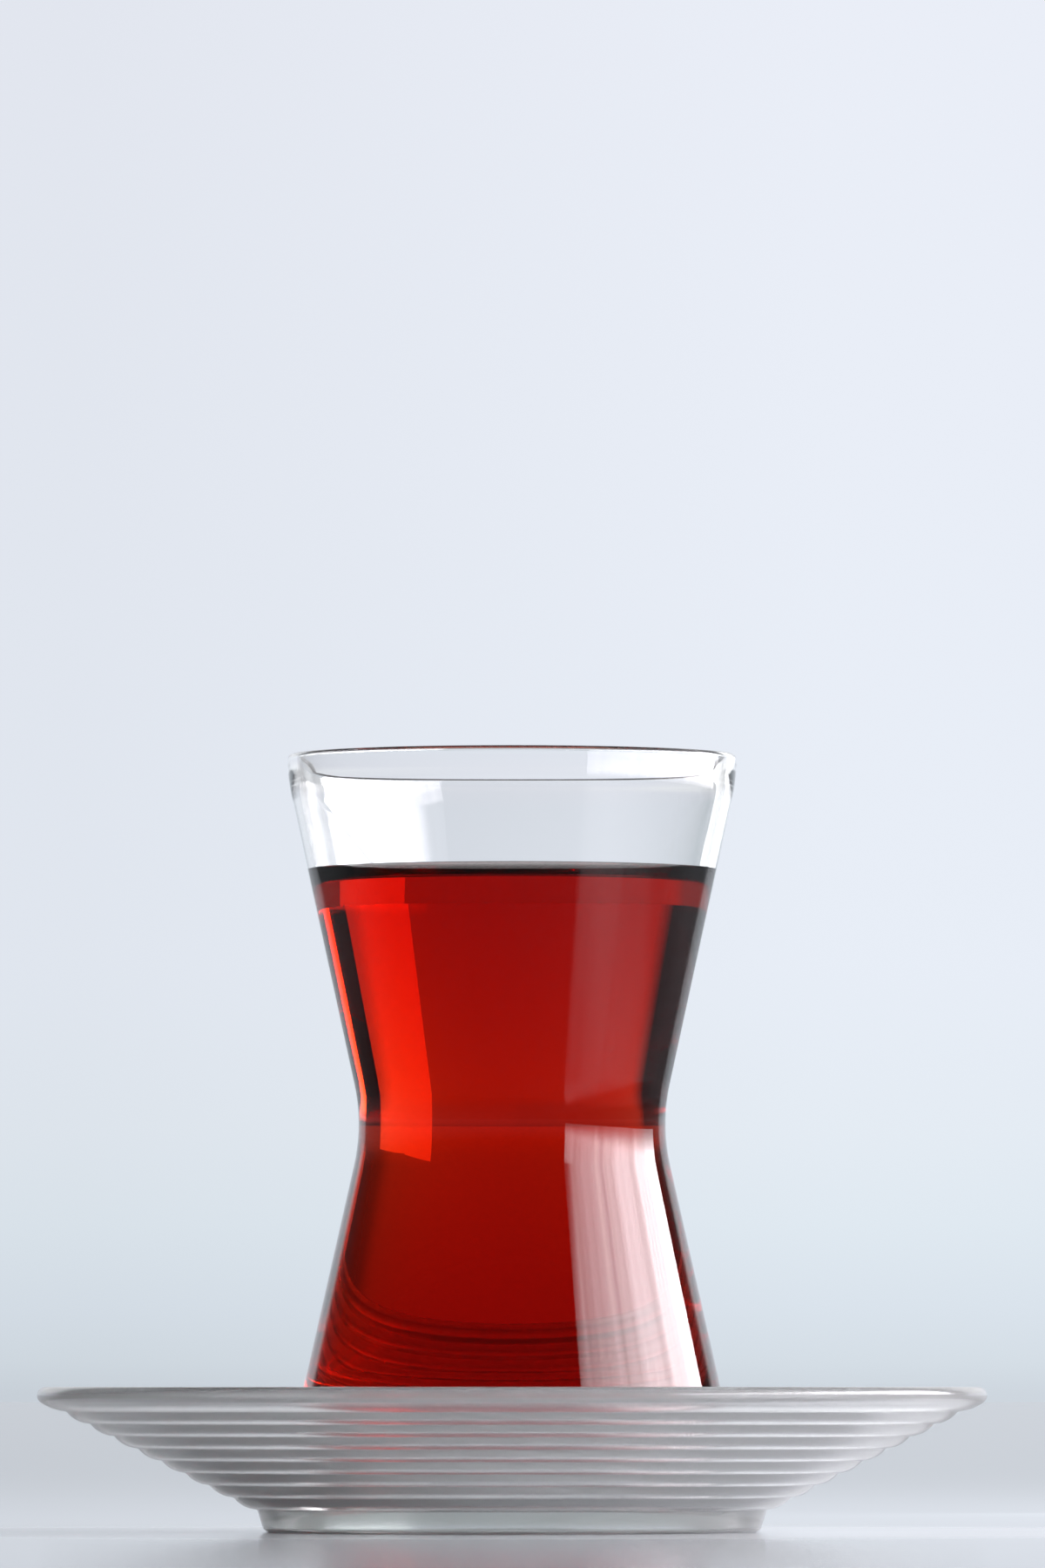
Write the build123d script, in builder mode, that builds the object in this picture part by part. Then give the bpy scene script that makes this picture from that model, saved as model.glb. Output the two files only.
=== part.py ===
"""Waisted tea glass filled with black tea, standing on its ribbed glass saucer.

Three separate turned solids: the saucer, the glass that rests on the saucer's
flat floor, and the tea that fills the glass up to its level.

All sizes are in millimetres. +Z is up, the common axis is Z and the origin is
the centre of the circle on which the saucer's foot stands.
"""
from build123d import *
import math
import os

# ---------------------------------------------------------------- glass sizes
glass_height = 91.3            # foot to the top of the rim
glass_foot_radius = 28.7       # where the lower cone would meet the foot plane
heel_rounding = 3.0            # outer corner between the foot and the lower cone
waist_radius = 18.3            # where the two outer cones would meet
waist_height = 45.8            # above the glass's own foot
waist_rounding = 23.0          # outer rounding of the waist
rim_radius = 27.6              # outside of the mouth
rim_thickness = 1.3            # fire-polished rim, a little thicker than the wall
rim_rounding = 0.62            # each edge of the rim, together nearly a half round
lip_length = 2.86              # upright stretch below the top of the rim, outside
lip_rounding = 20.0            # outside, between the upper cone and the lip
lip_inner_length = 4.1         # upright stretch below the top of the rim, inside
lip_inner_rounding = 12.0
waist_wall = 1.15              # wall at the waist, measured level
base_wall = 1.6                # wall beside the inner floor, measured level
base_thickness = 6.5           # solid glass under the tea
inner_floor_rounding = 5.0
inner_waist_rounding = 24.0
punt_depth = 1.2               # hollow under the glass, inside its contact ring
punt_radius = 19.0
punt_draft = 1.8               # how much wider the hollow is at the foot plane
punt_rounding = 1.0

# ------------------------------------------------------------------ tea sizes
tea_headspace = 15.5           # from the tea's flat surface to the top of the rim
meniscus_rise = 1.6            # how far the tea climbs the glass wall
meniscus_reach = 3.0           # how far in from the wall the surface curves
tea_clearance = 0.05           # between the tea and the glass

# --------------------------------------------------------------- saucer sizes
saucer_radius = 58.3
saucer_height = 17.8
saucer_floor_height = 4.2      # flat floor that carries the glass
heel_clearance = 0.3           # level, from the glass's sharp heel to the wall's foot
saucer_floor_rounding = 2.5
wall_foot_width = 2.3          # level, from the wall's inner foot to its outer foot
foot_height = 2.8              # plain ring below the first rib
foot_step = 0.9                # how far the standing ring lies inside the first rib
foot_rounding = 0.9
foot_ring_width = 5.2
foot_recess = 1.4              # hollow under the saucer, inside the standing ring
foot_recess_draft = 1.0
rib_count = 8                  # whole ribs; the last swell runs into the rim
rib_bulge = 0.38               # how far each rib stands out between two grooves
last_groove_inset = 3.6        # last groove, in from the edge of the saucer
last_groove_drop = 3.0         # last groove, down from the top of the saucer
rim_bead_radius = 1.05         # rounded edge of the saucer
rim_swell_bulge = 0.2          # swell between the last groove and the rounded edge

# -------------------------------------------------------------- derived sizes
glass_seat = saucer_floor_height
lip_height = glass_height - lip_length
lip_inner_radius = rim_radius - rim_thickness
lip_inner_height = glass_height - lip_inner_length
inner_waist_radius = waist_radius - waist_wall
lower_cone_slope = (glass_foot_radius - waist_radius) / waist_height
inner_floor_radius = glass_foot_radius - lower_cone_slope * base_thickness - base_wall
upper_bore_slope = (lip_inner_radius - inner_waist_radius) / (lip_inner_height - waist_height)

tea_level = glass_height - tea_headspace
tea_edge_level = tea_level + meniscus_rise

saucer_floor_radius = glass_foot_radius + heel_clearance
rib_start_radius = saucer_floor_radius + wall_foot_width
foot_radius = rib_start_radius - foot_step
foot_ring_inner_radius = foot_radius - foot_ring_width
rib_start = Vector(rib_start_radius, foot_height)
rib_end = Vector(saucer_radius - last_groove_inset, saucer_height - last_groove_drop)
bead_centre = Vector(saucer_radius - rim_bead_radius, saucer_height - rim_bead_radius)


def bore_radius(height):
    """Inner radius of the glass's upper cone at a height above the glass's foot."""
    return inner_waist_radius + upper_bore_slope * (height - waist_height)


def swell(start, end, bulge):
    """Draw a convex arc between two outline points, standing out on the lower side."""
    chord = end - start
    outward = Vector(chord.Y, -chord.X).normalized()
    crest = (start + end) * 0.5 + outward * bulge
    ThreePointArc(start, crest, end)


def on_bead(angle):
    """Point on the saucer's rounded edge, its angle counted from the level outward."""
    turn = math.radians(angle)
    return bead_centre + Vector(math.cos(turn), math.sin(turn)) * rim_bead_radius


# --------------------------------------------------------------------- saucer
underside_pitch = math.degrees(math.atan2(rib_end.Y - rib_start.Y, rib_end.X - rib_start.X))
bead_top = on_bead(90 + underside_pitch)
bead_bottom = on_bead(underside_pitch - 90)

with BuildPart() as saucer:
    with BuildSketch(Plane.XZ):
        with BuildLine():
            FilletPolyline(
                (0, foot_recess),
                (foot_ring_inner_radius - foot_recess_draft, foot_recess),
                (foot_ring_inner_radius, 0),
                (foot_radius, 0),
                (rib_start.X, rib_start.Y),
                radius=[foot_rounding, foot_rounding / 2, foot_rounding],
            )
            groove_step = (rib_end - rib_start) * (1 / rib_count)
            for rib in range(rib_count):
                swell(rib_start + groove_step * rib, rib_start + groove_step * (rib + 1), rib_bulge)
            swell(rib_end, bead_bottom, rim_swell_bulge)
            ThreePointArc(bead_bottom, on_bead(underside_pitch), bead_top)
            FilletPolyline(
                (bead_top.X, bead_top.Y),
                (saucer_floor_radius, saucer_floor_height),
                (0, saucer_floor_height),
                radius=saucer_floor_rounding,
            )
            Line((0, saucer_floor_height), (0, foot_recess))
        make_face()
    revolve(axis=Axis.Z)
saucer.part.label = "saucer"

# ---------------------------------------------------------------------- glass
with BuildPart() as glass:
    with BuildSketch(Plane.XZ):
        with BuildLine():
            FilletPolyline(
                (0, glass_seat + punt_depth),
                (punt_radius, glass_seat + punt_depth),
                (punt_radius + punt_draft, glass_seat),
                (glass_foot_radius, glass_seat),
                (waist_radius, glass_seat + waist_height),
                (rim_radius, glass_seat + lip_height),
                (rim_radius, glass_seat + glass_height),
                (lip_inner_radius, glass_seat + glass_height),
                (lip_inner_radius, glass_seat + lip_inner_height),
                (inner_waist_radius, glass_seat + waist_height),
                (inner_floor_radius, glass_seat + base_thickness),
                (0, glass_seat + base_thickness),
                radius=[
                    punt_rounding,
                    punt_rounding,
                    heel_rounding,
                    waist_rounding,
                    lip_rounding,
                    rim_rounding,
                    rim_rounding,
                    lip_inner_rounding,
                    inner_waist_rounding,
                    inner_floor_rounding,
                ],
            )
            Line((0, glass_seat + base_thickness), (0, glass_seat + punt_depth))
        make_face()
    revolve(axis=Axis.Z)
glass.part.label = "glass"

# ------------------------------------------------------------------------ tea
tea_bottom = glass_seat + base_thickness + tea_clearance
tea_edge = Vector(bore_radius(tea_edge_level) - tea_clearance, glass_seat + tea_edge_level)
meniscus_start = Vector(tea_edge.X - meniscus_reach, glass_seat + tea_level)

with BuildPart() as tea:
    with BuildSketch(Plane.XZ):
        with BuildLine():
            FilletPolyline(
                (0, tea_bottom),
                (inner_floor_radius - tea_clearance, tea_bottom),
                (inner_waist_radius - tea_clearance, glass_seat + waist_height),
                (tea_edge.X, tea_edge.Y),
                radius=[inner_floor_rounding, inner_waist_rounding],
            )
            TangentArc(meniscus_start, tea_edge, tangent=(1, 0))
            Line(meniscus_start, (0, meniscus_start.Y))
            Line((0, meniscus_start.Y), (0, tea_bottom))
        make_face()
    revolve(axis=Axis.Z)
tea.part.label = "tea"

os.makedirs("parts", exist_ok=True)
export_step(saucer.part, "parts/saucer.step")
export_step(glass.part, "parts/glass.step")
export_step(tea.part, "parts/tea.step")
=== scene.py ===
"""A waisted glass of black tea on its ribbed glass saucer, in a pale studio.

The three pieces are turned about +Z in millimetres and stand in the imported
model's frame, in metres. Each one is spun from a half outline.
"""
import logging
import math
from collections.abc import Callable
from dataclasses import dataclass, field
from enum import Enum

import bmesh
import bpy
from mathutils import Matrix, Vector


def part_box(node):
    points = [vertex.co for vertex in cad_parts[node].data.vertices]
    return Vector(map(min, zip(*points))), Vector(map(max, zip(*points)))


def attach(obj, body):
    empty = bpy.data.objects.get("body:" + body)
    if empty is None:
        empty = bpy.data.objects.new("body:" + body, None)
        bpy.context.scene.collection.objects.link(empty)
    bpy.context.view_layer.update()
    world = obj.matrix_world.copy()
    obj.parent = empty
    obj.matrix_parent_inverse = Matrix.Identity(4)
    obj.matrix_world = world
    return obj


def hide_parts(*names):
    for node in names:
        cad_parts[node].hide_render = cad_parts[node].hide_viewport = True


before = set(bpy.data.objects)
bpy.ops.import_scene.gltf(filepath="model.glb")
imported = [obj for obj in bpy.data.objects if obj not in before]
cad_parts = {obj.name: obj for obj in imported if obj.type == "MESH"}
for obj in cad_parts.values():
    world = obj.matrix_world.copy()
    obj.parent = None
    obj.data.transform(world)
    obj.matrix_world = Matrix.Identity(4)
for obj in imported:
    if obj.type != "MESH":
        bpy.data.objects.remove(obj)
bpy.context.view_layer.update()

MM = 0.001
Colour = tuple[float, float, float]
Feed = bpy.types.NodeSocket | float | tuple[float, ...]
log = logging.getLogger("tea_glass")


class Node(Enum):
    """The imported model's nodes, one for each separate piece."""

    SAUCER = "saucer"
    GLASS = "glass"
    TEA = "tea"


class Slot(Enum):
    """The pieces' material slots."""

    SAUCER = "saucer_glass"
    GLASS = "clear_glass"
    TEA = "black_tea"


def point(radius: float, height: float) -> Vector:
    """Places a point of a half outline.

    Args:
        radius: distance from the axis in millimetres.
        height: height in millimetres.

    Returns:
        The point in the XZ plane, in metres.
    """
    return Vector((radius * MM, 0.0, height * MM))


class OutlinePen:
    """Draws the half outline of a turned piece as a wire in the XZ plane, then spins it.

    Straights get a short guard segment at each end, so that the smooth shading
    of the roundings doesn't spread along them.
    """

    GUARD = 0.12 * MM
    ARC_STEP = math.radians(3.0)
    MIN_ARC_STEPS = 4
    SOFT_SEGMENTS = 4
    SPIN_STEPS = 288
    WELD = 1e-7

    def __init__(self, start: Vector) -> None:
        """Starts the wire.

        Args:
            start: first point of the outline, on the axis.
        """
        self.mesh = bmesh.new()
        self.tip = self.mesh.verts.new(start)

    def _extend(self, target: Vector) -> None:
        """Adds one straight segment from the tip.

        Args:
            target: where the segment ends.
        """
        made = bmesh.ops.extrude_vert_indiv(self.mesh, verts=[self.tip])
        self.tip = made["verts"][0]
        bmesh.ops.translate(self.mesh, verts=[self.tip], vec=target - self.tip.co)

    def line_to(self, target: Vector) -> None:
        """Draws a straight with its guards.

        Args:
            target: where the straight ends.
        """
        run = target - self.tip.co
        if run.length > 4 * self.GUARD:
            guard = run.normalized() * self.GUARD
            self._extend(self.tip.co + guard)
            self._extend(target - guard)
        self._extend(target)

    def arc(self, centre: Vector, angle: float) -> None:
        """Draws a true arc from the tip.

        Args:
            centre: the arc's centre.
            angle: turn in radians, positive anticlockwise with +X right and +Z up.
        """
        steps = max(self.MIN_ARC_STEPS, math.ceil(abs(angle) / self.ARC_STEP))
        made = bmesh.ops.spin(
            self.mesh, geom=[self.tip], cent=centre, axis=(0.0, -1.0, 0.0),
            angle=angle, steps=steps, use_merge=False,
            space=Matrix.Identity(4),
        )
        self.tip = made["geom_last"][0]

    def swell_to(self, end: Vector, bulge: float) -> None:
        """Draws a convex arc that stands out on the outline's right-hand side.

        Args:
            end: where the arc ends.
            bulge: how far its middle stands out from the chord, in metres.
        """
        start = self.tip.co.copy()
        chord = end - start
        radius = (chord.length**2 / 4 + bulge**2) / (2 * bulge)
        outward = Vector((chord.z, 0.0, -chord.x)).normalized()
        centre = (start + end) / 2 + outward * (bulge - radius)
        self.arc(centre, 2 * math.asin(chord.length / 2 / radius))

    def rounded(self, corners: list[tuple[Vector, float]], end: Vector) -> None:
        """Draws straights through rounded corners.

        Args:
            corners: each corner and its rounding radius in metres.
            end: the last point, where the final straight stops.
        """
        following = [corner for corner, _ in corners[1:]] + [end]
        for (corner, radius), after in zip(corners, following):
            back = (self.tip.co - corner).normalized()
            ahead = (after - corner).normalized()
            half = back.angle(ahead) / 2
            self.line_to(corner + back * (radius / math.tan(half)))
            centre = corner + (back + ahead).normalized() * (radius / math.sin(half))
            turn = math.pi - 2 * half
            left = -back.x * ahead.z + back.z * ahead.x > 0
            self.arc(centre, turn if left else -turn)
        self.line_to(end)

    def soften(self, spots: list[Vector], reach: float) -> None:
        """Rounds sharp inner corners of the wire.

        Args:
            spots: the corners' places.
            reach: how far along each side the rounding reaches, in metres.
        """
        found = [min(self.mesh.verts, key=lambda v: (v.co - spot).length) for spot in spots]
        bmesh.ops.bevel(
            self.mesh, geom=found, offset=reach, offset_type="OFFSET",
            segments=self.SOFT_SEGMENTS, profile=0.5, affect="VERTICES", material=-1, clamp_overlap=True,
        )

    def turned(self, name: str) -> bpy.types.Object:
        """Spins the outline a full turn into a closed, smooth piece.

        Args:
            name: the piece's name.

        Returns:
            The new object, at the origin, with its place in its mesh.
        """
        bmesh.ops.spin(
            self.mesh, geom=self.mesh.verts[:] + self.mesh.edges[:], cent=(0.0, 0.0, 0.0),
            axis=(0.0, 0.0, 1.0), angle=math.tau, steps=self.SPIN_STEPS, use_merge=True,
            space=Matrix.Identity(4),
        )
        bmesh.ops.remove_doubles(self.mesh, verts=self.mesh.verts[:], dist=self.WELD)
        bmesh.ops.recalc_face_normals(self.mesh, faces=self.mesh.faces[:])
        for face in self.mesh.faces:
            face.smooth = True
        data = bpy.data.meshes.new(name)
        self.mesh.to_mesh(data)
        self.mesh.free()
        piece = bpy.data.objects.new(name, data)
        bpy.context.scene.collection.objects.link(piece)
        return piece


def keep_sharp(piece: bpy.types.Object, radius: float, height: float) -> None:
    """Keeps one ring of edges of a turned piece crisp.

    Args:
        piece: the turned piece.
        radius: the ring's radius in metres.
        height: the ring's height in metres.
    """
    near = 0.02 * MM
    data = piece.data
    ring = {
        v.index for v in data.vertices
        if abs(v.co.z - height) < near and abs(math.hypot(v.co.x, v.co.y) - radius) < near
    }
    for edge in data.edges:
        if edge.vertices[0] in ring and edge.vertices[1] in ring:
            edge.use_edge_sharp = True


class Graph:
    """Adds nodes to one node tree. An input is fed by another node's socket or by a constant."""

    def __init__(self, tree: bpy.types.NodeTree) -> None:
        """Takes up a tree.

        Args:
            tree: the tree of a material, world, light or node group.
        """
        self.nodes = tree.nodes
        self.links = tree.links

    def feed(self, target: bpy.types.NodeSocket, source: Feed) -> None:
        """Links a socket to an input, or sets the input's constant.

        Args:
            target: the input.
            source: a socket, a number, a vector, or a colour without its alpha.
        """
        if isinstance(source, bpy.types.NodeSocket):
            self.links.new(source, target)
        elif target.type == "RGBA":
            target.default_value = (*source, 1.0)
        else:
            target.default_value = source

    def node(self, kind: str, feeds: dict[str | int, Feed] | None = None, **settings: str) -> bpy.types.Node:
        """Adds a node.

        Args:
            kind: the node's type.
            feeds: what goes into its inputs, by name or number.
            settings: the node's own properties, set before its inputs.

        Returns:
            The new node.
        """
        made = self.nodes.new(kind)
        for name, value in settings.items():
            setattr(made, name, value)
        for name, source in (feeds or {}).items():
            self.feed(made.inputs[name], source)
        return made

    def remap(
        self, value: Feed, low: float, high: float, to: tuple[Feed, Feed] = (0.0, 1.0), curve: str = "LINEAR",
    ) -> bpy.types.NodeSocket:
        """Carries a value from one range to another, held at the ends.

        Args:
            value: what is carried over.
            low: the value that gives the new range's first end.
            high: the value that gives the new range's second end.
            to: the new range.
            curve: LINEAR or SMOOTHSTEP.

        Returns:
            The carried value.
        """
        feeds = {"Value": value, "From Min": low, "From Max": high, "To Min": to[0], "To Max": to[1]}
        return self.node("ShaderNodeMapRange", feeds, interpolation_type=curve).outputs["Result"]

    def work(self, operation: str, first: Feed, second: Feed = 0.5) -> bpy.types.NodeSocket:
        """Does a sum with one or two numbers.

        Args:
            operation: the Math node's operation.
            first: first number.
            second: second number, which ABSOLUTE doesn't use.

        Returns:
            The result.
        """
        return self.node("ShaderNodeMath", {0: first, 1: second}, operation=operation).outputs["Value"]

    def mix(self, share: Feed, first: Feed, second: Feed, kind: str = "RGBA") -> bpy.types.NodeSocket:
        """Mixes two colours or numbers.

        Args:
            share: 0 for the first, 1 for the second.
            first: first colour or number.
            second: second colour or number.
            kind: RGBA for colours, FLOAT for numbers.

        Returns:
            The mixture.
        """
        feeds = {"Factor": share, "A": first, "B": second}
        return self.node("ShaderNodeMix", feeds, data_type=kind).outputs["Result"]

    def ramp(
        self, value: Feed, span: tuple[float, float], stops: tuple[tuple[float, Colour], ...],
    ) -> bpy.types.NodeSocket:
        """Turns a value into a colour.

        Args:
            value: what is looked up.
            span: the values at the ramp's two ends.
            stops: places from 0 to 1 along the ramp, each with its colour.

        Returns:
            The colour.
        """
        made = self.node("ShaderNodeValToRGB", {"Fac": self.remap(value, *span)})
        marks = made.color_ramp.elements
        while len(marks) < len(stops):
            marks.new(0.5)
        for mark, (place, colour) in zip(marks, stops):
            mark.position = place
            mark.color = (*colour, 1.0)
        return made.outputs["Color"]


def add_socket(group: bpy.types.NodeTree, name: str, kind: str, way: str, value: float | None = None) -> None:
    """Adds a named socket to a node group.

    Args:
        group: the node group.
        name: the socket's name.
        kind: the socket's type.
        way: INPUT or OUTPUT.
        value: its default value, where it has one.
    """
    made = group.interface.new_socket(name=name, in_out=way, socket_type=kind)
    if value is not None:
        made.default_value = value


def blown_surface_group() -> bpy.types.NodeTree:
    """Builds the node group for the marks of making and handling.

    Returns:
        The group, with a Normal for the slow waviness and draw lines of the
        wall, and a Roughness that rises from Haze to Marked in faint spots.
    """
    group = bpy.data.node_groups.new("blown_surface", "ShaderNodeTree")
    add_socket(group, "Wave Size", "NodeSocketFloat", "INPUT", 90.0)
    add_socket(group, "Wave Depth", "NodeSocketFloat", "INPUT", 1.0e-5)
    add_socket(group, "Haze", "NodeSocketFloat", "INPUT", 0.0)
    add_socket(group, "Marked", "NodeSocketFloat", "INPUT", 0.01)
    add_socket(group, "Normal", "NodeSocketVector", "OUTPUT")
    add_socket(group, "Roughness", "NodeSocketFloat", "OUTPUT")
    graph = Graph(group)
    inputs = graph.node("NodeGroupInput").outputs
    outputs = graph.node("NodeGroupOutput").inputs
    place = graph.node("ShaderNodeTexCoord").outputs["Object"]
    drawn = graph.node("ShaderNodeMapping", {"Vector": place, "Scale": (1.0, 1.0, 0.16)})
    waves = graph.node("ShaderNodeTexNoise", {
        "Vector": drawn.outputs["Vector"], "Scale": inputs["Wave Size"], "Detail": 1.0,
    })
    bump = graph.node("ShaderNodeBump", {
        "Strength": 1.0, "Distance": inputs["Wave Depth"], "Height": waves.outputs["Fac"],
    })
    spots = graph.node("ShaderNodeTexNoise", {"Vector": place, "Scale": 420.0, "Detail": 3.0})
    rough = graph.remap(spots.outputs["Fac"], 0.58, 0.72, (inputs["Haze"], inputs["Marked"]))
    graph.feed(outputs["Normal"], bump.outputs["Normal"])
    graph.feed(outputs["Roughness"], rough)
    return group


@dataclass(frozen=True)
class ClearFinish:
    """A clear or slightly milky material: glass or tea.

    A wettable finish reflects next to nothing where tea touches glass, which
    its piece marks in the wetness attribute.
    """

    slot: Slot
    ior: float
    absorbs: Colour
    density: float
    wave_size: float
    wave_depth: float
    marks: float
    haze: float = 0.0
    clear: float = 1.0
    wettable: bool = False

    def material(self, surface: bpy.types.NodeTree) -> bpy.types.Material:
        """Builds the material.

        Args:
            surface: the shared blown_surface group.

        Returns:
            The new material.
        """
        made = bpy.data.materials.new(self.slot.value)
        made.use_nodes = True
        graph = Graph(made.node_tree)
        shader = graph.nodes["Principled BSDF"]
        shader.inputs["Base Color"].default_value = (1.0, 1.0, 1.0, 1.0)
        shader.inputs["Metallic"].default_value = 0.0
        shader.inputs["Transmission Weight"].default_value = self.clear
        shader.inputs["IOR"].default_value = self.ior
        marks = graph.node("ShaderNodeGroup")
        marks.node_tree = surface
        marks.inputs["Wave Size"].default_value = self.wave_size
        marks.inputs["Wave Depth"].default_value = self.wave_depth
        marks.inputs["Haze"].default_value = self.haze
        marks.inputs["Marked"].default_value = self.haze + self.marks
        graph.feed(shader.inputs["Normal"], marks.outputs["Normal"])
        graph.feed(shader.inputs["Roughness"], marks.outputs["Roughness"])
        volume = graph.node("ShaderNodeVolumeAbsorption", {"Color": self.absorbs, "Density": self.density})
        graph.feed(graph.nodes["Material Output"].inputs["Volume"], volume.outputs["Volume"])
        if self.wettable:
            self._mask_wet(graph, shader)
        return made

    @staticmethod
    def _mask_wet(graph: Graph, shader: bpy.types.Node) -> None:
        """Feeds Specular Tint with black where tea wets the glass.

        Args:
            graph: the material's graph.
            shader: its Principled BSDF.
        """
        wet = graph.node("ShaderNodeAttribute")
        wet.attribute_name = "wetness"
        dry = graph.work("SUBTRACT", 1.0, wet.outputs["Fac"])
        tint = graph.node("ShaderNodeCombineColor", {"Red": dry, "Green": dry, "Blue": dry})
        graph.feed(shader.inputs["Specular Tint"], tint.outputs["Color"])


def mark_wet(piece: bpy.types.Object, is_wet: Callable[[float, float], bool]) -> None:
    """Stores the wetness attribute, 1 where the tea touches the glass.

    Args:
        piece: the turned piece.
        is_wet: tells from a radius and a height in millimetres whether the place is wet.
    """
    layer = piece.data.attributes.new("wetness", "FLOAT", "POINT")
    values = [
        1.0 if is_wet(math.hypot(v.co.x, v.co.y) / MM, v.co.z / MM) else 0.0
        for v in piece.data.vertices
    ]
    layer.data.foreach_set("value", values)


def settle(piece: bpy.types.Object, node: Node, finish: bpy.types.Material) -> None:
    """Dresses a piece, lets it ride on the one body and stand for its node.

    Args:
        piece: the finished piece.
        node: the CAD node that it replaces.
        finish: its material.
    """
    piece.data.materials.append(finish)
    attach(piece, "root")
    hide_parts(node.value)
    log.info("%s: %d faces", piece.name, len(piece.data.polygons))


@dataclass
class Saucer:
    """The ribbed saucer. Sizes are in millimetres."""

    radius: float = 58.3
    height: float = 17.8
    floor_height: float = 4.2
    floor_radius: float = 29.0
    floor_rounding: float = 2.5
    wall_foot_width: float = 2.3
    foot_height: float = 2.8
    foot_step: float = 0.9
    foot_rounding: float = 0.9
    foot_ring_width: float = 5.2
    foot_recess: float = 1.4
    foot_recess_draft: float = 1.0
    ribs: int = 8
    rib_bulge: float = 0.38
    groove_rounding: float = 0.16
    last_groove_inset: float = 3.6
    last_groove_drop: float = 3.0
    bead_radius: float = 1.05
    rim_swell: float = 0.2
    finish: ClearFinish = field(default_factory=lambda: ClearFinish(
        slot=Slot.SAUCER, ior=1.52, absorbs=(0.55, 0.95, 0.86), density=3.0,
        wave_size=110.0, wave_depth=2.0e-5, marks=0.06, haze=0.16, clear=0.82,
    ))

    def build(self, surface: bpy.types.NodeTree) -> bpy.types.Object:
        """Turns the saucer and dresses it.

        Args:
            surface: the shared blown_surface group.

        Returns:
            The finished piece.
        """
        rib_start = point(self.floor_radius + self.wall_foot_width, self.foot_height)
        rib_end = point(self.radius - self.last_groove_inset, self.height - self.last_groove_drop)
        foot = self.floor_radius + self.wall_foot_width - self.foot_step
        ring = foot - self.foot_ring_width
        slope = math.atan2(rib_end.z - rib_start.z, rib_end.x - rib_start.x)
        bead = point(self.radius - self.bead_radius, self.height - self.bead_radius)
        bead_reach = self.bead_radius * MM
        pen = OutlinePen(point(0, self.foot_recess))
        pen.rounded([
            (point(ring - self.foot_recess_draft, self.foot_recess), self.foot_rounding * MM),
            (point(ring, 0), self.foot_rounding / 2 * MM),
            (point(foot, 0), self.foot_rounding * MM),
        ], rib_start)
        step = (rib_end - rib_start) / self.ribs
        for rib in range(self.ribs):
            pen.swell_to(rib_start + step * (rib + 1), self.rib_bulge * MM)
        bead_bottom = bead + Vector((math.sin(slope), 0.0, -math.cos(slope))) * bead_reach
        pen.swell_to(bead_bottom, self.rim_swell * MM)
        pen.arc(bead, math.pi)
        floor_end = point(0, self.floor_height)
        pen.rounded([(point(self.floor_radius, self.floor_height), self.floor_rounding * MM)], floor_end)
        grooves = [rib_start + step * rib for rib in range(self.ribs + 1)]
        pen.soften(grooves, self.groove_rounding * MM)
        piece = pen.turned("pressed_saucer")
        settle(piece, Node.SAUCER, self.finish.material(surface))
        return piece


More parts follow.
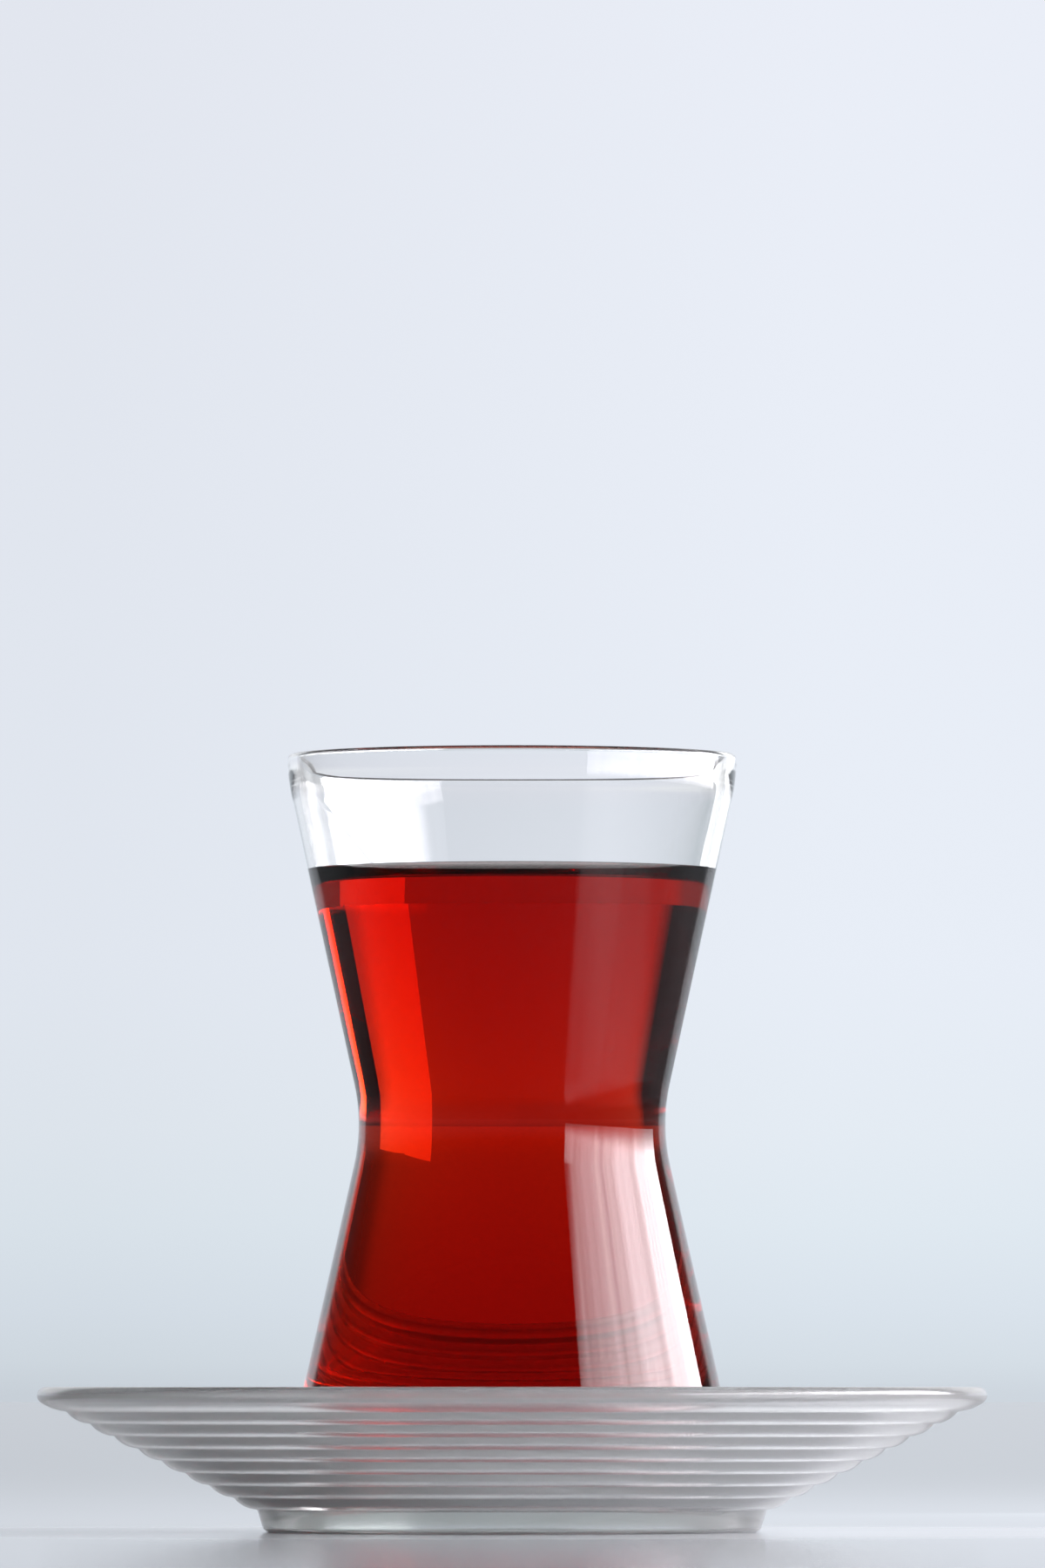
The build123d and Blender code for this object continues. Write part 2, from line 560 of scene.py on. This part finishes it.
@dataclass
class TeaGlass:
    """The waisted glass and how far it is filled. Sizes are in millimetres, heights from its foot."""

    seat: float
    height: float = 91.3
    foot_radius: float = 28.7
    heel_rounding: float = 3.0
    waist_radius: float = 18.3
    waist_height: float = 45.8
    waist_rounding: float = 23.0
    rim_radius: float = 27.6
    rim_thickness: float = 1.3
    rim_rounding: float = 0.62
    lip_length: float = 2.86
    lip_rounding: float = 20.0
    lip_inner_length: float = 4.1
    lip_inner_rounding: float = 12.0
    waist_wall: float = 1.15
    base_wall: float = 1.6
    base_thickness: float = 6.5
    floor_rounding: float = 5.0
    inner_waist_rounding: float = 24.0
    punt_depth: float = 1.2
    punt_radius: float = 19.0
    punt_draft: float = 1.8
    punt_rounding: float = 1.0
    tea_headspace: float = 15.5
    meniscus_rise: float = 1.6
    wet_reach: float = 0.6
    finish: ClearFinish = field(default_factory=lambda: ClearFinish(
        slot=Slot.GLASS, ior=1.52, absorbs=(0.7, 0.95, 0.9), density=2.5,
        wave_size=95.0, wave_depth=1.2e-5, marks=0.008, wettable=True,
    ))

    def bore(self, height: float) -> float:
        """Gives the inner radius by the two straight cones, without the waist's rounding.

        Args:
            height: height above the glass's foot.

        Returns:
            The radius.
        """
        waist = self.waist_radius - self.waist_wall
        if height > self.waist_height:
            top = self.height - self.lip_inner_length
            share = (height - self.waist_height) / (top - self.waist_height)
            return waist + share * (self.rim_radius - self.rim_thickness - waist)
        share = (self.waist_height - height) / (self.waist_height - self.base_thickness)
        return waist + share * (self.inner_floor_radius() - waist)

    def inner_floor_radius(self) -> float:
        """Gives the radius of the sharp corner between the bore and the inner floor.

        Returns:
            The radius.
        """
        slope = (self.foot_radius - self.waist_radius) / self.waist_height
        return self.foot_radius - slope * self.base_thickness - self.base_wall

    def tea_level(self) -> float:
        """Gives the height of the tea's flat surface.

        Returns:
            The height above the glass's foot.
        """
        return self.height - self.tea_headspace

    def tea_edge_level(self) -> float:
        """Gives the height at which the tea's edge meets the wall.

        Returns:
            The height above the glass's foot.
        """
        return self.tea_level() + self.meniscus_rise

    def at(self, radius: float, height: float) -> Vector:
        """Places a point of the outline.

        Args:
            radius: distance from the axis.
            height: height above the glass's foot.

        Returns:
            The point in metres.
        """
        return point(radius, self.seat + height)

    def build(self, surface: bpy.types.NodeTree) -> bpy.types.Object:
        """Turns the glass and dresses it.

        Args:
            surface: the shared blown_surface group.

        Returns:
            The finished piece.
        """
        inside = self.rim_radius - self.rim_thickness
        pen = OutlinePen(self.at(0, self.punt_depth))
        pen.rounded([
            (self.at(self.punt_radius, self.punt_depth), self.punt_rounding * MM),
            (self.at(self.punt_radius + self.punt_draft, 0), self.punt_rounding * MM),
            (self.at(self.foot_radius, 0), self.heel_rounding * MM),
            (self.at(self.waist_radius, self.waist_height), self.waist_rounding * MM),
            (self.at(self.rim_radius, self.height - self.lip_length), self.lip_rounding * MM),
            (self.at(self.rim_radius, self.height), self.rim_rounding * MM),
            (self.at(inside, self.height), self.rim_rounding * MM),
            (self.at(inside, self.height - self.lip_inner_length), self.lip_inner_rounding * MM),
            (self.at(self.waist_radius - self.waist_wall, self.waist_height), self.inner_waist_rounding * MM),
            (self.at(self.inner_floor_radius(), self.base_thickness), self.floor_rounding * MM),
        ], self.at(0, self.base_thickness))
        piece = pen.turned("blown_tea_glass")
        mark_wet(piece, lambda radius, height: (
            self.base_thickness - self.wet_reach < height - self.seat < self.tea_edge_level()
            and radius < self.bore(height - self.seat) + self.wet_reach
        ))
        settle(piece, Node.GLASS, self.finish.material(surface))
        return piece


@dataclass
class Tea:
    """The tea in the glass. Sizes are in millimetres."""

    glass: TeaGlass
    meniscus_reach: float = 3.0
    into_wall: float = 0.06
    edge_slack: float = 0.02
    dry_skin: float = 0.3
    finish: ClearFinish = field(default_factory=lambda: ClearFinish(
        slot=Slot.TEA, ior=1.333, absorbs=(0.886, 0.332, 0.03), density=220.0,
        wave_size=60.0, wave_depth=4.0e-6, marks=0.0, wettable=True,
    ))

    def build(self, surface: bpy.types.NodeTree) -> bpy.types.Object:
        """Turns the tea, which reaches just into the wall, and dresses it.

        Args:
            surface: the shared blown_surface group.

        Returns:
            The finished piece.
        """
        glass = self.glass
        level = glass.tea_level()
        edge_level = glass.tea_edge_level()
        edge_radius = glass.bore(edge_level) + self.into_wall
        edge = glass.at(edge_radius, edge_level)
        floor = glass.base_thickness - self.into_wall
        flat = glass.at(edge_radius - self.meniscus_reach, level)
        pen = OutlinePen(glass.at(0, floor))
        pen.rounded([
            (glass.at(glass.inner_floor_radius() + self.into_wall, floor), glass.floor_rounding * MM),
            (glass.at(glass.waist_radius - glass.waist_wall + self.into_wall, glass.waist_height),
             glass.inner_waist_rounding * MM),
        ], edge)
        rise, reach = glass.meniscus_rise * MM, self.meniscus_reach * MM
        radius = (rise**2 + reach**2) / (2 * rise)
        turn = math.atan2(reach, radius - rise)
        pen.arc(Vector((flat.x, 0.0, flat.z + radius)), -turn)
        pen.line_to(glass.at(0, level))
        piece = pen.turned("black_tea_fill")
        keep_sharp(piece, edge.x, edge.z)
        mark_wet(piece, lambda radius, height: (
            height < glass.seat + edge_level - self.edge_slack
            and (height < glass.seat + level - self.dry_skin
                 or radius > glass.bore(height - glass.seat) - self.edge_slack)
        ))
        settle(piece, Node.TEA, self.finish.material(surface))
        return piece


@dataclass(frozen=True)
class Fade:
    """Dims a panel along its width (X) or height (Y), both counted from 0 to 1."""

    side: str
    start: float
    end: float
    first: float
    last: float


@dataclass(frozen=True)
class Panel:
    """A soft studio light: a flat panel that the camera doesn't see. Sizes are in metres."""

    name: str
    place: tuple[float, float, float]
    facing: tuple[float, float, float]
    width: float
    height: float
    radiance: float
    colour: Colour = (1.0, 1.0, 1.0)
    folds: float = 0.0
    fades: tuple[Fade, ...] = ()
    glints: bool = True

    def build(self) -> bpy.types.Object:
        """Builds the light. Its radiance is 1.0 for a panel as bright as plain white.

        Returns:
            The light's object.
        """
        data = bpy.data.lights.new(self.name, "AREA")
        data.shape = "RECTANGLE"
        data.size = self.width
        data.size_y = self.height
        data.color = self.colour
        data.energy = self.radiance * math.pi * self.width * self.height
        if self.folds > 0:
            self._fold(data)
        lamp = bpy.data.objects.new(self.name, data)
        lamp.location = self.place
        aim = Vector(self.facing) - Vector(self.place)
        lamp.rotation_euler = aim.to_track_quat("-Z", "Y").to_euler()
        lamp.visible_camera = False
        lamp.visible_glossy = self.glints
        bpy.context.scene.collection.objects.link(lamp)
        return lamp

    def _fold(self, data: bpy.types.AreaLight) -> None:
        """Gives the panel upright soft folds, as of a sheer curtain, and dims its sides.

        Args:
            data: the light.
        """
        data.use_nodes = True
        graph = Graph(data.node_tree)
        spread = graph.node("ShaderNodeTexCoord").outputs["UV"]
        upright = graph.node("ShaderNodeMapping", {"Vector": spread, "Scale": (1.0, 0.02, 1.0)})
        folds = graph.node("ShaderNodeTexNoise", {
            "Vector": upright.outputs["Vector"], "Scale": 16.0, "Detail": 4.0, "Roughness": 0.6,
        })
        level = graph.remap(folds.outputs["Fac"], 0.3, 0.7, (1.0 - self.folds, 1.0 + self.folds))
        sides = graph.node("ShaderNodeSeparateXYZ", {"Vector": spread}).outputs
        for fade in self.fades:
            dimming = graph.remap(
                sides[fade.side], fade.start, fade.end, (fade.first, fade.last), curve="SMOOTHSTEP",
            )
            level = graph.work("MULTIPLY", level, dimming)
        graph.feed(graph.nodes["Emission"].inputs["Strength"], level)


@dataclass(frozen=True)
class PaleFloor:
    """A pale glossy floor with painted light and shade. Sizes are in metres.

    Its tone depends on how it is seen: darker in reflections, a painted shade;
    paler beside the piece, a painted pool of light; and a faint painted glow,
    though it is no lamp, at flat angles through glass.
    """

    half: float = 25.0
    roughness: float = 0.12
    ior: float = 1.2
    tone: Colour = (0.58, 0.62, 0.66)
    # painted shade: the floor's darker tone, seen only in reflections
    painted_shade_reflected_tone: Colour = (0.08, 0.08, 0.085)
    # painted pool of light: the floor's paler tone beside the piece, and how far it reaches
    painted_light_near_tone: Colour = (0.80, 0.83, 0.86)
    painted_light_reach: tuple[float, float] = (0.11, 0.08)
    flat_angles: tuple[float, float] = (0.70, 0.85)
    # painted glow: emission strength and colour of the floor seen through glass, though it is no lamp
    painted_glow: float = 0.45
    painted_glow_colour: Colour = (0.90, 0.95, 1.0)

    def build(self) -> bpy.types.Object:
        """Builds the floor under the saucer's foot.

        Returns:
            The floor's object.
        """
        mesh = bmesh.new()
        bmesh.ops.create_grid(mesh, x_segments=2, y_segments=2, size=self.half)
        data = bpy.data.meshes.new("floor")
        mesh.to_mesh(data)
        mesh.free()
        floor = bpy.data.objects.new("floor", data)
        bpy.context.scene.collection.objects.link(floor)
        data.materials.append(self._material())
        return floor

    def _material(self) -> bpy.types.Material:
        """Builds the floor's material.

        Returns:
            The new material.
        """
        made = bpy.data.materials.new("pale_floor")
        made.use_nodes = True
        graph = Graph(made.node_tree)
        shader = graph.nodes["Principled BSDF"]
        rays = graph.node("ShaderNodeLightPath").outputs
        # painted shade: reflections see the floor in a darker tone than the camera does
        tone = graph.mix(rays["Is Glossy Ray"], self.tone, self.painted_shade_reflected_tone)
        # painted pool of light: the floor is paler for every ray within a short reach of the piece
        spot = graph.node("ShaderNodeNewGeometry").outputs["Position"]
        reach = graph.node("ShaderNodeVectorMath", {0: spot}, operation="LENGTH").outputs["Value"]
        near = graph.remap(reach, *self.painted_light_reach)
        # painted glow: the floor emits light for rays through glass at flat angles, though it is no lamp
        facing = graph.node("ShaderNodeLayerWeight").outputs["Facing"]
        painted_glow_by_angle = graph.remap(facing, *self.flat_angles, (0.0, self.painted_glow))
        painted_glow = graph.work("MULTIPLY", rays["Is Transmission Ray"], painted_glow_by_angle)
        graph.feed(shader.inputs["Roughness"], self.roughness)
        graph.feed(shader.inputs["IOR"], self.ior)
        graph.feed(shader.inputs["Base Color"], graph.mix(near, tone, self.painted_light_near_tone))
        graph.feed(shader.inputs["Emission Color"], self.painted_glow_colour)
        graph.feed(shader.inputs["Emission Strength"], painted_glow)
        return made


@dataclass(frozen=True)
class PaleSky:
    """The world: a pale gradient at the horizon, and a sky that is darker to the sides.

    Heights are the upward part of a direction. The camera sees the horizon's
    colours only. Reflections see a dark room in front of the piece.
    """

    horizon_span: tuple[float, float] = (-0.01, 0.10)
    horizon: tuple[tuple[float, Colour], ...] = (
        (0.00, (0.565, 0.610, 0.665)), (0.09, (0.600, 0.655, 0.715)), (0.11, (0.645, 0.708, 0.768)),
        (0.142, (0.680, 0.745, 0.815)), (0.194, (0.723, 0.791, 0.855)), (0.25, (0.755, 0.810, 0.874)),
        (0.35, (0.780, 0.826, 0.900)), (1.00, (0.800, 0.830, 0.905)),
    )
    sky_span: tuple[float, float] = (-0.01, 1.0)
    bright: tuple[tuple[float, Colour], ...] = (
        (0.00, (0.60, 0.65, 0.70)), (0.06, (0.80, 0.84, 0.90)), (0.20, (1.00, 1.02, 1.05)),
        (0.60, (0.60, 0.62, 0.66)), (1.00, (0.40, 0.41, 0.43)),
    )
    dark: tuple[tuple[float, Colour], ...] = (
        (0.00, (0.14, 0.14, 0.15)), (0.10, (0.10, 0.10, 0.11)), (0.22, (0.02, 0.02, 0.02)),
        (1.00, (0.06, 0.06, 0.06)),
    )
    turn: tuple[float, float] = (0.80, 0.86)
    rise: tuple[float, float] = (0.09, 0.12)
    left: tuple[float, float] = (-0.2, -0.6)
    left_light: float = 0.6
    aside: tuple[float, float] = (-0.03, 0.02)
    aside_levels: tuple[float, float] = (0.955, 1.03)

    def build(self) -> None:
        """Builds the world and makes it the scene's own."""
        world = bpy.data.worlds.new("pale_studio")
        bpy.context.scene.world = world
        world.use_nodes = True
        graph = Graph(world.node_tree)
        way = graph.node("ShaderNodeTexCoord").outputs["Generated"]
        parts = graph.node("ShaderNodeSeparateXYZ", {"Vector": way}).outputs
        rays = graph.node("ShaderNodeLightPath").outputs
        near = self._shade_aside(graph, parts["X"], graph.ramp(parts["Z"], self.horizon_span, self.horizon))
        back = graph.ramp(parts["Z"], self.sky_span, self.bright)
        front = graph.ramp(parts["Z"], self.sky_span, self.dark)
        either_way = graph.work("ABSOLUTE", parts["Y"])
        ahead = graph.mix(rays["Is Glossy Ray"], either_way, parts["Y"], kind="FLOAT")
        turn = graph.remap(ahead, *self.turn)
        around = graph.mix(turn, front, back)
        behind = graph.mix(graph.remap(parts["Z"], *self.rise), near, around)
        facing = graph.mix(turn, around, behind)
        left = graph.remap(parts["X"], *self.left, (0.0, self.left_light))
        straight = graph.work("SUBTRACT", 1.0, rays["Is Glossy Ray"])
        lit = graph.mix(graph.work("MULTIPLY", left, straight), facing, back)
        seen = graph.mix(rays["Is Camera Ray"], lit, near)
        graph.feed(graph.nodes["Background"].inputs["Color"], seen)

    def _shade_aside(self, graph: Graph, side: Feed, colour: Feed) -> bpy.types.NodeSocket:
        """Makes the pale backdrop a little darker on the left than on the right.

        Args:
            graph: the world's graph.
            side: the direction's part to the right.
            colour: the backdrop's colour.

        Returns:
            The shaded colour.
        """
        share = graph.remap(side, *self.aside, self.aside_levels)
        shaded = graph.node("ShaderNodeVectorMath", {0: colour, "Scale": share}, operation="SCALE")
        return shaded.outputs["Vector"]


@dataclass
class Studio:
    """The pale surroundings: sky, floor, light panels and camera. Sizes are in metres."""

    eye_height: float = 17.1 * MM
    eye_distance: float = 1.83
    eye_aside: float = 1.28 * MM
    lens: float = 342.0
    sensor_width: float = 36.0
    farthest: float = 200.0
    pitch: float = math.radians(2.34)
    sky: PaleSky = PaleSky()
    floor: PaleFloor = PaleFloor()
    panels: tuple[Panel, ...] = (
        Panel(
            "window", (0.60, -0.10, 0.3125), (0.0, -0.10, 0.3125), 1.24, 0.455, 11.5,
            colour=(1.0, 0.96, 1.0), folds=0.35,
            fades=(
                Fade("X", 0.0, 0.7, 0.4, 1.0),
                Fade("Y", 0.0, 0.25, 0.15, 1.0),
                Fade("Y", 0.66, 0.84, 1.0, 0.12),
            ),
        ),
        Panel("low_card", (0.118, 0.272, 0.10), (0.0, 0.0, 0.10), 0.098, 0.20, 1.27, glints=False),
    )

    def build(self) -> None:
        """Builds everything round the piece."""
        self.sky.build()
        self.floor.build()
        for panel in self.panels:
            panel.build()
        self._camera()

    def _camera(self) -> None:
        """Sets up a long lens just above the floor, looking slightly up."""
        data = bpy.data.cameras.new("camera")
        data.lens = self.lens
        data.sensor_width = self.sensor_width
        data.clip_end = self.farthest
        camera = bpy.data.objects.new("camera", data)
        camera.location = (self.eye_aside, -self.eye_distance, self.eye_height)
        camera.rotation_euler = (math.pi / 2 + self.pitch, 0.0, 0.0)
        bpy.context.scene.collection.objects.link(camera)
        bpy.context.scene.camera = camera


def main() -> None:
    """Builds the three pieces and the studio."""
    logging.basicConfig(level=logging.INFO, format="%(name)s: %(message)s")
    surface = blown_surface_group()
    Saucer().build(surface)
    glass = TeaGlass(seat=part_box(Node.GLASS.value)[0].z / MM)
    glass.build(surface)
    Tea(glass).build(surface)
    Studio().build()
    scene = bpy.context.scene
    scene.view_settings.view_transform = "Standard"
    scene.cycles.max_bounces = 32
    scene.cycles.transmission_bounces = 32
    scene.cycles.glossy_bounces = 12


if __name__ == "__main__":
    main()
